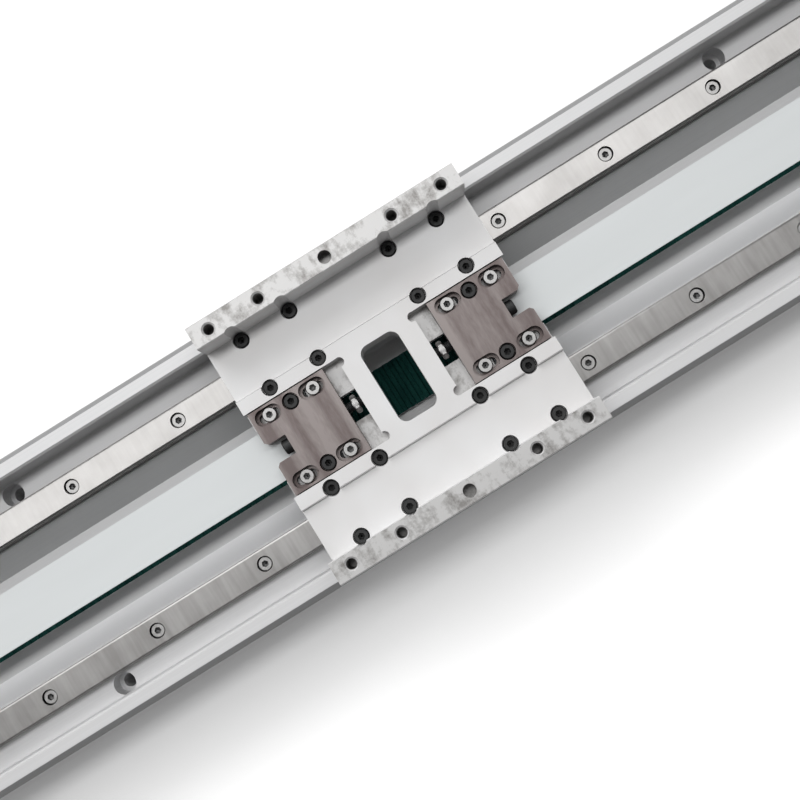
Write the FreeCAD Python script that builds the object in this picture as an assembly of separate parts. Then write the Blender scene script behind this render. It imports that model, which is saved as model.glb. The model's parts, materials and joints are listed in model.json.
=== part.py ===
import FreeCAD, Part
import math
import os

# A belt driven linear axis: an extruded channel base carries two ball rails, a lipped carriage on
# four bearing blocks, and a toothed belt that runs over a driven and an idling pulley.
# Millimetres. X runs along the axis, Z up, origin at the middle of the base's underside.

# Base extrusion, section sizes
base_length = 640.0
bottom_wall = 4.5
trough_floor_z = 21.0
trough_edge = 0.7
trough_slope_run = 10.5
seat_z = 31.5
channel_floor_z = 34.0
foot_chamfer = 0.8
wall_thickness = 9.7
wall_top_z = 55.5
wall_chamfer = 1.0
ledge_width = 3.3
ledge_z = 50.0
chamber_web = 8.5
chamber_inward = 15.0
chamber_outward = 5.0
chamber_roof = 5.0
chamber_slope_rise = 12.5
chamber_slope_run = 8.0
slot_z = 22.0
slot_mouth = 3.6
slot_lip = 1.6
slot_width = 7.0
slot_depth = 5.0
slot_corner = 1.0

# Holes that fasten the base to a machine
mount_pitch = 200.0
mount_start = 111.0
mount_wall_gap = 5.6
mount_hole_r = 3.3
mount_bore_r = 5.5
mount_bore_depth = 11.0
mount_count = 3

# Rails
rail_half_pitch = 40.0
rail_width = 15.0
rail_height = 12.5
rail_flank = 5.6
rail_groove_top = 9.2
rail_groove_depth = 0.9
rail_head_half = 7.1
rail_top_half = 6.3
rail_top_chamfer = 1.1
rail_end_gap = 1.0
rail_side_gap = 0.1
rail_screw_pitch = 60.0
rail_screw_margin = 7.5
rail_bore_r = 3.75
rail_bore_depth = 5.3
rail_hole_r = 2.25
rail_screw_length = 16.0

# Bearing blocks
block_height = 24.0
block_width = 34.0
block_underside = 4.5
block_side_gap = 1.6
block_chamfer = 1.0
block_body_length = 39.1
block_cap_length = 7.9
block_seal_length = 0.95
block_gap = 0.25
cap_gap = 0.5
seal_gap = 0.15
cap_inset = 0.3
cap_chamfer = 2.0
block_end_inset = 30.0
block_hole_half = 13.0
block_hole_depth = 7.0

# Carriage plate
carriage_x = -19.4
carriage_length = 140.0
side_plate = 8.5
raised_plate = 11.3
raised_half = 29.3
lip_side_inset = 1.5
lip_width = 11.3
lip_height = 30.5
edge_chamfer = 0.5
wall_gap = 1.2
plate_bore_r = 4.0
plate_screw_grip = 4.2
plate_screw_length = 10.0
lip_hole_inset = 5.8
lip_hole_ends = (9.0, 35.0)
lip_hole_r = 2.5
lip_hole_depth = 14.0
dowel_r = 3.0
dowel_depth = 10.0
window_length = 20.0
window_width = 40.0
window_corner = 4.5
keel_side_gap = 0.7
keel_depth = 6.0

# Belt and pulleys
belt_pitch = 5.0
belt_width = 25.0
belt_back = 1.5
tooth_height = 1.2
tooth_root = 3.2
tooth_tip = 2.1
pulley_teeth = 20
pitch_offset = 0.615
mesh_gap = 0.06
gap_widening = 0.2
gap_deepening = 0.25
pulley_side_room = 1.0
flange_thickness = 1.5
flange_rise = 2.7
belt_rise = 13.0
pulley_overhang = 22.5
shaft_r = 6.0
stub_r = 5.0
stub_length = 25.0
relief = 1.0
spacer_thickness = 1.0
spacer_r = 8.0
key_size = 4.0
key_length = 20.0
bearing_outer_r = 14.0
bearing_width = 8.0
bearing_ring = 1.9
bearing_shield = 0.5
bearing_gap = 0.3

# End housings
housing_length = 46.0
cavity_gap = 1.0
cavity_roof = 2.8
shaft_hole_r = 8.0
plug_thickness = 3.0
cover_thickness = 6.0
end_screw_inset = 16.3
end_screw_rise = 28.0
web_screw_shift = 4.0
web_screw_rise = 10.0
end_screw_length = 60.0
end_thread_depth = 25.0
end_screw_sink = 5.5
cover_screw_inset = 20.0
cover_screw_rise = 8.0
cover_screw_drop = 7.0
cover_screw_length = 14.0
cover_screw_sink = 4.2
flange_hole_half = 17.5
flange_hole_r = 2.1
flange_hole_depth = 10.0
housing_chamfer = 1.5
head_room = 0.4
stop_r = 4.0
stop_length = 9.0
stop_nose = 1.0
stop_inset = 18.3
stop_drop = 4.4

# Belt clamps in the carriage's pockets
pocket_room = 8.1
pocket_side_gap = 0.5
pocket_depth = 9.8
ear_r = 2.3
ear_shift_x = 0.3
ear_shift_y = 2.2
clamp_end_inset = 1.4
clamp_length = 40.5
clamp_edge = 1.0
clamp_height = 9.15
slide_gap = 0.05
notch_length = 10.3
notch_half = 4.9
notch_chamfer = 1.5
slot_starts = (8.7, 32.1)
slot_bore_length = 13.1
slot_bore_width = 7.8
slot_bore_depth = 4.8
slot_hole_length = 10.4
slot_hole_width = 4.5
clamp_screw_shift = -0.5
clamp_screw_length = 10.0
belt_bolt_start = 20.0
belt_bolt_side = 3.3
belt_bolt_length = 10.5
belt_slot_inset = 0.9
belt_side_gap = 1.1
cross_slot_half_length = 7.3
nut_slot_half = 6.85
jaw_start_gap = 2.0
jaw_end_gap = 2.5
jaw_side = 0.8
jaw_thickness = 4.2
jaw_ear_half_length = 4.7
jaw_ear_reach = 4.0
jaw_ear_gap = 0.4
jaw_ear_top_gap = 0.5
belt_end_inset = 0.5
tension_r = 2.5
tension_hole_r = 2.6
tension_head_r = 3.5
tension_head_length = 4.0
tension_tip_gap = 3.0
tension_rise = 4.7
nut_gap = 2.0
nut_thickness = 2.8
nut_flats = 8.0

# Cap screws: shank radius, head radius, head height, hexagon across flats, hexagon depth
m4 = (2.0, 3.5, 4.0, 3.0, 2.0)
m5 = (2.5, 4.25, 5.0, 4.0, 2.5)

# How far a cut runs past the face that it opens
cut_past = 1.0

# Worked out from the sizes above
half_length = base_length / 2
wall_inner_half = rail_half_pitch + block_width / 2 + block_side_gap
half_width = wall_inner_half + wall_thickness
shoulder_half = half_width - ledge_width
mount_half = wall_inner_half - mount_wall_gap
seat_inner = rail_half_pitch - rail_width / 2 - rail_side_gap
seat_outer = rail_half_pitch + rail_width / 2 + rail_side_gap
trough_top_half = seat_inner - trough_edge
trough_half = trough_top_half - trough_slope_run
chamber_inner = rail_half_pitch - chamber_inward
chamber_outer = rail_half_pitch + chamber_outward
chamber_top_z = seat_z - chamber_roof
centre_chamber_half = chamber_inner - chamber_web
half_carriage = carriage_length / 2
block_half_span = half_carriage - block_end_inset
lip_outer_half = half_width - lip_side_inset
lip_inner_half = lip_outer_half - lip_width
lip_hole_half = lip_outer_half - lip_hole_inset
keel_half = rail_half_pitch - block_width / 2 - keel_side_gap
rail_top_z = seat_z + rail_height
block_top_z = seat_z + block_height
plate_z = block_top_z
side_top_z = plate_z + side_plate
raised_top_z = plate_z + raised_plate
lip_top_z = plate_z + lip_height
lip_under_z = wall_top_z + wall_gap
bore_floor_z = plate_z + plate_screw_grip
keel_z = plate_z - keel_depth
pocket_floor_z = raised_top_z - pocket_depth
belt_back_z = rail_top_z + belt_rise
belt_land_z = belt_back_z - belt_back
pitch_r = pulley_teeth * belt_pitch / (2 * math.pi)
land_r = pitch_r - pitch_offset
back_r = land_r + belt_back
axle_z = belt_back_z - back_r
pulley_x = half_length + pulley_overhang
flange_r = land_r + flange_rise
pulley_width = belt_width + 2 * pulley_side_room
flange_out = pulley_width / 2 + flange_thickness
cavity_half = flange_out + spacer_thickness
bearing_out = cavity_half + bearing_width
cavity_top_z = axle_z + flange_r + cavity_gap
housing_height = cavity_top_z + cavity_roof
end_screw_places = ((half_width - end_screw_inset, end_screw_rise),
                    (centre_chamber_half + web_screw_shift, web_screw_rise))
cover_screw_half = half_width - cover_screw_inset
cover_screw_places = ((cover_screw_half, cover_screw_rise),
                      (cover_screw_half, housing_height - cover_screw_drop))
stop_half = half_width - stop_inset
jaw_half = belt_width / 2 + jaw_side
slot_half_y = jaw_half + belt_bolt_side
jaw_ear_half = slot_half_y + jaw_ear_reach
cross_slot_half = jaw_ear_half + jaw_ear_gap
clamp_half = jaw_ear_half + clamp_edge
pocket_half = clamp_half + pocket_side_gap
belt_slot_half = belt_width / 2 + belt_side_gap
clamp_end = half_carriage - clamp_end_inset
clamp_start = clamp_end - clamp_length
pocket_start = clamp_start - pocket_room
notch_x = clamp_end - notch_length
slot_places = [clamp_start + s for s in slot_starts]
belt_bolt_x = clamp_start + belt_bolt_start
belt_slot_start = clamp_start + belt_slot_inset
jaw_start = belt_slot_start + jaw_start_gap
jaw_end = half_carriage - jaw_end_gap
belt_end = jaw_start + belt_end_inset
clamp_z = pocket_floor_z + slide_gap
clamp_top_z = clamp_z + clamp_height
tension_z = pocket_floor_z + tension_rise
jaw_z = belt_land_z - tooth_height - mesh_gap


def vec(x, y, z):
    return FreeCAD.Vector(x, y, z)


def box(x0, x1, y0, y1, z0, z1):
    return Part.makeBox(x1 - x0, y1 - y0, z1 - z0, vec(x0, y0, z0))


def rod_x(r, x0, x1, y, z):
    return Part.makeCylinder(r, x1 - x0, vec(x0, y, z), vec(1, 0, 0))


def rod_y(r, y0, y1, x, z):
    return Part.makeCylinder(r, y1 - y0, vec(x, y0, z), vec(0, 1, 0))


def rod_z(r, z0, z1, x, y):
    return Part.makeCylinder(r, z1 - z0, vec(x, y, z0))


def prism_x(points, x0, x1):
    """Extrude a closed outline of (y, z) points along X."""
    wire = Part.makePolygon([vec(x0, y, z) for y, z in points + points[:1]])
    return Part.Face(wire).extrude(vec(x1 - x0, 0, 0))


def prism_z(points, z0, z1):
    """Extrude a closed outline of (x, y) points along Z."""
    wire = Part.makePolygon([vec(x, y, z0) for x, y in points + points[:1]])
    return Part.Face(wire).extrude(vec(0, 0, z1 - z0))


def ring_y(profile, x, z):
    """Revolve (radius, y) points about a line along Y through (x, z)."""
    wire = Part.makePolygon([vec(x, y, z + r) for r, y in profile + profile[:1]])
    return Part.Face(wire).revolve(vec(x, 0, z), vec(0, 1, 0), 360)


def both_sides(points):
    """A closed outline from its right half, given from the bottom up."""
    return points + [(-y, z) for y, z in reversed(points)]


def mirror_x(shape):
    return shape.mirror(vec(0, 0, 0), vec(1, 0, 0))


def mirror_y(shape):
    return shape.mirror(vec(0, 0, 0), vec(0, 1, 0))


def four_ways(x, y):
    return [(x, y), (x, -y), (-x, y), (-x, -y)]


def slot_solid(length, width, z0, z1, x, y):
    """A straight slot with round ends, along X."""
    reach = (length - width) / 2
    body = box(x - reach, x + reach, y - width / 2, y + width / 2, z0, z1)
    ends = [rod_z(width / 2, z0, z1, x + s * reach, y) for s in (-1, 1)]
    return body.fuse(ends).removeSplitter()


def cap_screw(size, length, head_bottom, direction):
    """A cap screw whose head's underside is centred at head_bottom; the shank runs along direction."""
    shank_r, head_r, head_h, flats, socket = size
    screw = Part.makeCylinder(head_r, head_h)
    screw = screw.fuse(Part.makeCylinder(shank_r, length, vec(0, 0, 0), vec(0, 0, -1)))
    corner_r = flats / math.sqrt(3)
    corners = [math.radians(60 * i) for i in range(6)]
    hexagon = [(corner_r * math.cos(t), corner_r * math.sin(t)) for t in corners]
    screw = screw.cut(prism_z(hexagon, head_h - socket, head_h))
    turn = FreeCAD.Rotation(vec(0, 0, -1), vec(*direction))
    screw.Placement = FreeCAD.Placement(vec(*head_bottom), turn)
    return screw


def save(node, solids):
    shape = solids if not isinstance(solids, list) else Part.makeCompound(solids)
    shape.exportStep(os.path.join("parts", node + ".step"))


# Base and rails
def base_section():
    """Right half of the extrusion's outline, from the bottom centre up to the trough's middle."""
    return [
        (half_width, 0), (half_width, ledge_z), (shoulder_half, ledge_z), (shoulder_half, wall_top_z),
        (wall_inner_half + wall_chamfer, wall_top_z), (wall_inner_half, wall_top_z - wall_chamfer),
        (wall_inner_half, channel_floor_z + foot_chamfer),
        (wall_inner_half - foot_chamfer, channel_floor_z),
        (seat_outer, channel_floor_z), (seat_outer, seat_z),
        (seat_inner, seat_z), (seat_inner, channel_floor_z),
        (trough_top_half, channel_floor_z), (trough_half, trough_floor_z),
    ]


def side_slot():
    """The sensor slot in the base's right side, as the shape that is taken away."""
    mouth = slot_mouth / 2
    room = slot_width / 2
    inner = half_width - slot_lip
    points = [
        (half_width + cut_past, slot_z - mouth), (half_width + cut_past, slot_z + mouth),
        (inner, slot_z + mouth), (inner, slot_z + room),
        (inner - slot_depth + slot_corner, slot_z + room), (inner - slot_depth, slot_z + mouth),
        (inner - slot_depth, slot_z - mouth), (inner - slot_depth + slot_corner, slot_z - room),
        (inner, slot_z - room), (inner, slot_z - mouth),
    ]
    return prism_x(points, -half_length, half_length)


def side_chamber():
    points = [
        (chamber_inner, bottom_wall), (chamber_outer, bottom_wall),
        (chamber_outer, chamber_top_z), (chamber_inner + chamber_slope_run, chamber_top_z),
        (chamber_inner, bottom_wall + chamber_slope_rise),
    ]
    return prism_x(points, -half_length, half_length)


def rail_screw_places():
    count = int((half_length - rail_screw_margin) / rail_screw_pitch)
    return [i * rail_screw_pitch for i in range(-count, count + 1)]


def mount_places():
    return [-half_length + mount_start + i * mount_pitch for i in range(mount_count)]


def base_extrusion():
    body = prism_x(both_sides(base_section()), -half_length, half_length)
    half = centre_chamber_half
    cuts = [box(-half_length, half_length, -half, half, bottom_wall, trough_floor_z - bottom_wall)]
    for piece in (side_slot(), side_chamber()):
        cuts += [piece, mirror_y(piece)]
    deep = half_length - end_thread_depth
    for y, z in end_screw_places:
        for side in (-1, 1):
            cuts.append(rod_x(m5[0], deep, half_length, side * y, z))
            cuts.append(rod_x(m5[0], -half_length, -deep, side * y, z))
    bore_z = channel_floor_z - mount_bore_depth
    for x in mount_places():
        for y in (-mount_half, mount_half):
            cuts.append(rod_z(mount_bore_r, bore_z, channel_floor_z, x, y))
            cuts.append(rod_z(mount_hole_r, 0, bore_z, x, y))
    screw_end = rail_top_z - rail_bore_depth - rail_screw_length
    for x in rail_screw_places():
        for y in (-rail_half_pitch, rail_half_pitch):
            cuts.append(rod_z(m4[0], screw_end, seat_z, x, y))
    return body.cut(cuts)


def rail_wire(grow, low, x):
    """The rail's section at x, larger all round by grow, closed along z = low."""
    foot = rail_width / 2 + grow
    head = rail_head_half + grow
    top = rail_top_half + grow
    high = rail_height + grow
    neck = high - rail_top_chamfer
    middle = (rail_flank + rail_groove_top) / 2
    waist = (foot + head) / 2 - rail_groove_depth

    def at(y, z):
        return vec(x, rail_half_pitch + y, seat_z + z)

    def line(a, b):
        return Part.LineSegment(a, b).toShape()

    edges = [line(at(-foot, low), at(foot, low)), line(at(foot, low), at(foot, rail_flank))]
    edges.append(Part.Arc(at(foot, rail_flank), at(waist, middle), at(head, rail_groove_top)).toShape())
    edges += [line(at(head, rail_groove_top), at(head, neck)), line(at(head, neck), at(top, high))]
    edges += [line(at(top, high), at(-top, high)), line(at(-top, high), at(-head, neck))]
    edges.append(line(at(-head, neck), at(-head, rail_groove_top)))
    left = Part.Arc(at(-head, rail_groove_top), at(-waist, middle), at(-foot, rail_flank))
    edges += [left.toShape(), line(at(-foot, rail_flank), at(-foot, low))]
    return Part.Wire(edges)


def rail():
    reach = half_length - rail_end_gap
    body = Part.Face(rail_wire(0, 0, -reach)).extrude(vec(2 * reach, 0, 0))
    cuts = []
    for x in rail_screw_places():
        cuts.append(rod_z(rail_bore_r, rail_top_z - rail_bore_depth, rail_top_z, x, rail_half_pitch))
        cuts.append(rod_z(rail_hole_r, seat_z, rail_top_z - rail_bore_depth, x, rail_half_pitch))
    return body.cut(cuts)


def rail_screws():
    z = rail_top_z - rail_bore_depth
    places = [(x, y) for y in (-rail_half_pitch, rail_half_pitch) for x in rail_screw_places()]
    return [cap_screw(m4, rail_screw_length, (x, y, z), (0, 0, -1)) for x, y in places]


# Bearing blocks, made for the block at +X +Y of the carriage's middle
def block_slice(x0, x1, gap, inset, chamfer):
    """A length of bearing block: an arch over the rail, gap clear of it."""
    half = block_width / 2 - inset
    top = block_top_z - inset
    low = seat_z + block_underside + inset
    points = [
        (half, low), (half, top - chamfer), (half - chamfer, top),
        (chamfer - half, top), (-half, top - chamfer), (-half, low),
    ]
    body = prism_x([(y + rail_half_pitch, z) for y, z in points], x0, x1)
    passage = Part.Face(rail_wire(gap, block_underside - cut_past, x0)).extrude(vec(x1 - x0, 0, 0))
    return body.cut(passage)


def block_body():
    half = block_body_length / 2
    x = block_half_span
    body = block_slice(x - half, x + half, block_gap, 0, block_chamfer)
    holes = []
    for dx, dy in four_ways(block_hole_half, block_hole_half):
        low = block_top_z - block_hole_depth
        holes.append(rod_z(m4[0], low, block_top_z, x + dx, rail_half_pitch + dy))
    return body.cut(holes)


def block_ends(start, length, gap, inset, chamfer):
    """The pair of caps or seals at both ends of a block, start from its middle."""
    x = block_half_span
    far = block_slice(x + start, x + start + length, gap, inset, chamfer)
    near = block_slice(x - start - length, x - start, gap, inset, chamfer)
    return [near, far]


def in_quarter(shape, sx, sy):
    """Mirror a piece made at +X +Y into another quarter, then set it under the carriage."""
    if sx < 0:
        shape = mirror_x(shape)
    if sy < 0:
        shape = mirror_y(shape)
    return on_carriage(shape)


def on_carriage(shape):
    shape = shape.copy()
    shape.translate(vec(carriage_x, 0, 0))
    return shape


# Carriage plate, made about its own middle
def carriage_section():
    lip_foot = wall_inner_half - wall_gap
    c = edge_chamfer
    return [
        (lip_foot, plate_z), (lip_foot, lip_under_z), (lip_outer_half, lip_under_z),
        (lip_outer_half, lip_top_z - c), (lip_outer_half - c, lip_top_z),
        (lip_inner_half + c, lip_top_z), (lip_inner_half, lip_top_z - c),
        (lip_inner_half, side_top_z), (raised_half, side_top_z),
        (raised_half, raised_top_z - c), (raised_half - c, raised_top_z),
    ]


def plate_screw_places():
    near = block_half_span - block_hole_half
    far = block_half_span + block_hole_half
    row_in = rail_half_pitch - block_hole_half
    row_out = rail_half_pitch + block_hole_half
    return [p for x in (near, far) for y in (row_in, row_out) for p in four_ways(x, y)]


def window_cut():
    x = window_length / 2
    y = window_width / 2
    body = box(-x, x, -y, y, keel_z, raised_top_z)
    upright = [e for e in body.Edges if abs(e.tangentAt(e.FirstParameter).z) > 0.5]
    return body.makeFillet(window_corner, upright)


def pocket_cuts():
    """What is milled away for the belt clamp at +X."""
    end = half_carriage
    top = raised_top_z
    cuts = [box(pocket_start, end, -pocket_half, pocket_half, pocket_floor_z, top)]
    ear_y = pocket_half - ear_shift_y
    for y in (-ear_y, ear_y):
        cuts.append(rod_z(ear_r, pocket_floor_z, top, pocket_start - ear_shift_x, y))
    cuts.append(box(belt_slot_start, end, -belt_slot_half, belt_slot_half, keel_z, pocket_floor_z))
    low = belt_bolt_x - cross_slot_half_length
    high = belt_bolt_x + cross_slot_half_length
    cuts.append(box(low, high, -cross_slot_half, cross_slot_half, keel_z, pocket_floor_z))
    cuts.append(box(pocket_start, belt_slot_start, -nut_slot_half, nut_slot_half, keel_z, pocket_floor_z))
    cuts.append(rod_x(tension_hole_r, window_length / 2 - cut_past, pocket_start + cut_past, 0, tension_z))
    for x, y in clamp_screw_places():
        cuts.append(rod_z(m4[0], keel_z, pocket_floor_z, x, y))
    return cuts


def carriage_plate():
    body = prism_x(both_sides(carriage_section()), -half_carriage, half_carriage)
    keel = box(-half_carriage, half_carriage, -keel_half, keel_half, keel_z, plate_z)
    body = body.fuse(keel).removeSplitter()
    cuts = [window_cut()]
    for piece in pocket_cuts():
        cuts += [piece, mirror_x(piece)]
    for x, y in plate_screw_places():
        cuts.append(rod_z(plate_bore_r, bore_floor_z, lip_top_z, x, y))
        cuts.append(rod_z(m4[0], plate_z, bore_floor_z, x, y))
    for inset in lip_hole_ends:
        for px, py in four_ways(half_carriage - inset, lip_hole_half):
            cuts.append(rod_z(lip_hole_r, lip_top_z - lip_hole_depth, lip_top_z, px, py))
    for y in (-lip_hole_half, lip_hole_half):
        cuts.append(rod_z(dowel_r, lip_top_z - dowel_depth, lip_top_z, 0, y))
    return on_carriage(body.cut(cuts))


def plate_screws():
    screws = [cap_screw(m4, plate_screw_length, (x, y, bore_floor_z), (0, 0, -1))
              for x, y in plate_screw_places()]
    return [on_carriage(s) for s in screws]


# Belt clamps, made for the +X pocket about the carriage's middle
def clamp_screw_places():
    return [(x + clamp_screw_shift, y) for x in slot_places for y in (-slot_half_y, slot_half_y)]


def clamp_block():
    end = clamp_end
    c = notch_chamfer
    outline = [
        (clamp_start, -clamp_half), (end, -clamp_half), (end, -notch_half - c), (end - c, -notch_half),
        (notch_x, -notch_half), (notch_x, notch_half), (end - c, notch_half), (end, notch_half + c),
        (end, clamp_half), (clamp_start, clamp_half),
    ]
    body = prism_z(outline, clamp_z, clamp_top_z)
    seat_floor = clamp_top_z - slot_bore_depth
    cuts = [rod_x(tension_hole_r, clamp_start, notch_x, 0, tension_z)]
    for y in (-slot_half_y, slot_half_y):
        for x in slot_places:
            cuts.append(slot_solid(slot_bore_length, slot_bore_width, seat_floor, clamp_top_z, x, y))
            cuts.append(slot_solid(slot_hole_length, slot_hole_width, clamp_z, seat_floor, x, y))
        cuts.append(rod_z(plate_bore_r, seat_floor, clamp_top_z, belt_bolt_x, y))
        cuts.append(rod_z(m4[0], clamp_z, seat_floor, belt_bolt_x, y))
    return body.cut(cuts)


def belt_tooth_places(low, high):
    """Middles of the belt's teeth between two places, counted from the pulley at +X."""
    first = math.ceil((pulley_x - high) / belt_pitch)
    last = math.floor((pulley_x - low) / belt_pitch)
    return [pulley_x - i * belt_pitch for i in range(first, last + 1)]


def clamp_jaw(side):
    """The toothed plate under the belt at +X or -X of the carriage's middle, already in its place."""
    body = box(jaw_start, jaw_end, -jaw_half, jaw_half, jaw_z - jaw_thickness, jaw_z)
    ear_top = pocket_floor_z - jaw_ear_top_gap
    low = belt_bolt_x - jaw_ear_half_length
    high = belt_bolt_x + jaw_ear_half_length
    for sign in (-1, 1):
        y0, y1 = sorted((sign * jaw_half, sign * jaw_ear_half))
        body = body.fuse(box(low, high, y0, y1, jaw_z - jaw_thickness, ear_top))
    body = body.removeSplitter()
    for y in (-slot_half_y, slot_half_y):
        body = body.cut(rod_z(m4[0], jaw_z - jaw_thickness, ear_top, belt_bolt_x, y))
    body.translate(vec(side * carriage_x, 0, 0))
    root = (belt_pitch - tooth_tip) / 2 - mesh_gap
    tip = (belt_pitch - tooth_root) / 2 - mesh_gap
    near = side * carriage_x + jaw_start
    far = side * carriage_x + jaw_end
    teeth = []
    for x in belt_tooth_places(near, far):
        x += belt_pitch / 2
        if near + root < x < far - root:
            points = [vec(x + dx, -jaw_half, jaw_z + dz)
                      for dx, dz in ((-root, 0), (root, 0), (tip, tooth_height), (-tip, tooth_height))]
            face = Part.Face(Part.makePolygon(points + points[:1]))
            teeth.append(face.extrude(vec(0, 2 * jaw_half, 0)))
    body = body.fuse(teeth).removeSplitter()
    return body if side > 0 else mirror_x(body)


def belt_bolts():
    z = clamp_top_z - slot_bore_depth
    return [cap_screw(m4, belt_bolt_length, (belt_bolt_x, y, z), (0, 0, -1))
            for y in (-slot_half_y, slot_half_y)]


def clamp_screws():
    z = clamp_top_z - slot_bore_depth
    screws = [cap_screw(m4, clamp_screw_length, (x, y, z), (0, 0, -1)) for x, y in clamp_screw_places()]
    return [on_carriage(s) for s in screws] + [on_carriage(mirror_x(s)) for s in screws]


def tension_screw():
    size = (tension_r, tension_head_r, tension_head_length, m4[3], m4[4])
    tip = window_length / 2 + tension_tip_gap
    return cap_screw(size, notch_x - tip, (notch_x, 0, tension_z), (-1, 0, 0))


def lock_nut():
    corner_r = nut_flats / math.sqrt(3)
    corners = [math.radians(60 * i) for i in range(6)]
    points = [(corner_r * math.cos(t), tension_z + corner_r * math.sin(t)) for t in corners]
    start = pocket_start + nut_gap
    nut = prism_x(points, start, start + nut_thickness)
    return nut.cut(rod_x(tension_r, start, start + nut_thickness, 0, tension_z))


# Belt and pulleys
def polar(cx, r, degrees):
    t = math.radians(degrees)
    return vec(cx + r * math.cos(t), 0, axle_z + r * math.sin(t))


def wrap_edges(cx, start, side):
    """Inner face of the belt round one pulley, clockwise from start degrees, teeth at every pitch."""
    step = 360 / pulley_teeth
    root = math.degrees(tooth_root / 2 / land_r)
    tip = math.degrees(tooth_tip / 2 / (land_r - tooth_height))
    edges = []
    for i in range(pulley_teeth // 2 + 1):
        middle = start - side * i * step
        if i > 0:
            a = polar(cx, land_r, middle + side * (step - root))
            b = polar(cx, land_r, middle + side * step / 2)
            c = polar(cx, land_r, middle + side * root)
            edges.append(Part.Arc(a, b, c).toShape())
        corners = [polar(cx, land_r, middle + side * root),
                   polar(cx, land_r - tooth_height, middle + side * tip),
                   polar(cx, land_r - tooth_height, middle - side * tip),
                   polar(cx, land_r, middle - side * root)]
        edges += [Part.LineSegment(p, q).toShape() for p, q in zip(corners, corners[1:])]
    return edges


def run_points(places, land, rise, direction):
    """Corners of a straight run's inner face over teeth at places, in their order along direction."""
    points = []
    for x in places:
        for dx, dz in ((-tooth_root, 0), (-tooth_tip, rise), (tooth_tip, rise), (tooth_root, 0)):
            points.append(vec(x + direction * dx / 2, 0, land + dz))
    return points


def toothed_belt():
    """One open loop from clamp to clamp: back outside, teeth inside, then given its width."""
    right = carriage_x + belt_end
    left = carriage_x - belt_end
    low_back = axle_z - back_r
    low_land = axle_z - land_r
    root_out = polar(pulley_x, land_r, 90 - math.degrees(tooth_root / 2 / land_r))

    def chain(points):
        return [Part.LineSegment(p, q).toShape() for p, q in zip(points, points[1:])]

    edges = chain([vec(right, 0, belt_back_z), vec(pulley_x, 0, belt_back_z)])
    edges.append(Part.Arc(vec(pulley_x, 0, belt_back_z), polar(pulley_x, back_r, 0),
                          vec(pulley_x, 0, low_back)).toShape())
    edges += chain([vec(pulley_x, 0, low_back), vec(-pulley_x, 0, low_back)])
    edges.append(Part.Arc(vec(-pulley_x, 0, low_back), polar(-pulley_x, back_r, 180),
                          vec(-pulley_x, 0, belt_back_z)).toShape())
    edges += chain([vec(-pulley_x, 0, belt_back_z), vec(left, 0, belt_back_z)])

    upper_left = [-x for x in reversed(belt_tooth_places(-left + tooth_root, pulley_x - belt_pitch))]
    inner = [vec(left, 0, belt_back_z), vec(left, 0, belt_land_z)]
    inner += run_points(sorted(upper_left, reverse=True), belt_land_z, -tooth_height, -1)
    wrap_left = wrap_edges(-pulley_x, 90, -1)
    inner.append(wrap_left[0].Vertexes[0].Point)
    edges += chain(inner) + wrap_left
    lower = [-x for x in belt_tooth_places(belt_pitch - pulley_x, pulley_x - belt_pitch)]
    wrap_right = wrap_edges(pulley_x, -90, -1)
    bottom = [wrap_left[-1].Vertexes[-1].Point]
    bottom += run_points(sorted(lower), low_land, tooth_height, 1)
    bottom.append(wrap_right[0].Vertexes[0].Point)
    edges += chain(bottom) + wrap_right
    upper_right = belt_tooth_places(right + tooth_root, pulley_x - belt_pitch)
    last = [wrap_right[-1].Vertexes[-1].Point]
    last += run_points(sorted(upper_right, reverse=True), belt_land_z, -tooth_height, -1)
    last += [vec(right, 0, belt_land_z), vec(right, 0, belt_back_z)]
    edges += chain(last)
    wire = Part.Wire(Part.__sortEdges__(edges))
    belt = Part.Face(wire).extrude(vec(0, belt_width, 0))
    belt.translate(vec(0, -belt_width / 2, 0))
    return belt


def pulley(cx):
    """Toothed pulley about the axle at cx: gaps where the belt's teeth lie."""
    top = land_r - mesh_gap
    floor = land_r - tooth_height - gap_deepening
    half_root = math.degrees((tooth_root + gap_widening) / 2 / land_r)
    half_tip = math.degrees((tooth_tip + gap_widening) / 2 / floor)
    step = 360 / pulley_teeth
    edges = []
    for i in range(pulley_teeth):
        middle = 90 + i * step
        corners = [polar(cx, top, middle - half_root), polar(cx, floor, middle - half_tip),
                   polar(cx, floor, middle + half_tip), polar(cx, top, middle + half_root)]
        edges += [Part.LineSegment(p, q).toShape() for p, q in zip(corners, corners[1:])]
        crown_top = polar(cx, top, middle + step / 2)
        crown_end = polar(cx, top, middle + step - half_root)
        edges.append(Part.Arc(corners[3], crown_top, crown_end).toShape())
    blank = Part.Face(Part.Wire(edges)).extrude(vec(0, pulley_width, 0))
    blank.translate(vec(0, -pulley_width / 2, 0))
    return blank.cut(rod_y(shaft_r, -pulley_width / 2, pulley_width / 2, cx, axle_z))


def key_block(cx, grow):
    half = key_length / 2
    low = axle_z + shaft_r - key_size / 2
    return box(cx - key_size / 2, cx + key_size / 2, -half, half + grow, low, low + key_size)


def flanges(cx):
    outer = flange_r
    start = pulley_width / 2
    profile = [(shaft_r, start), (outer, start), (outer, flange_out), (shaft_r, flange_out)]
    return [ring_y([(r, s * y) for r, y in profile], cx, axle_z) for s in (-1, 1)]


def spacers(cx):
    profile = [(shaft_r, flange_out), (spacer_r, flange_out), (spacer_r, cavity_half), (shaft_r, cavity_half)]
    return [ring_y([(r, s * y) for r, y in profile], cx, axle_z) for s in (-1, 1)]


def bearing_inner(cx):
    high = shaft_r + bearing_ring
    profile = [(shaft_r, cavity_half), (high, cavity_half), (high, bearing_out), (shaft_r, bearing_out)]
    return [ring_y([(r, s * y) for r, y in profile], cx, axle_z) for s in (-1, 1)]


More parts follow.
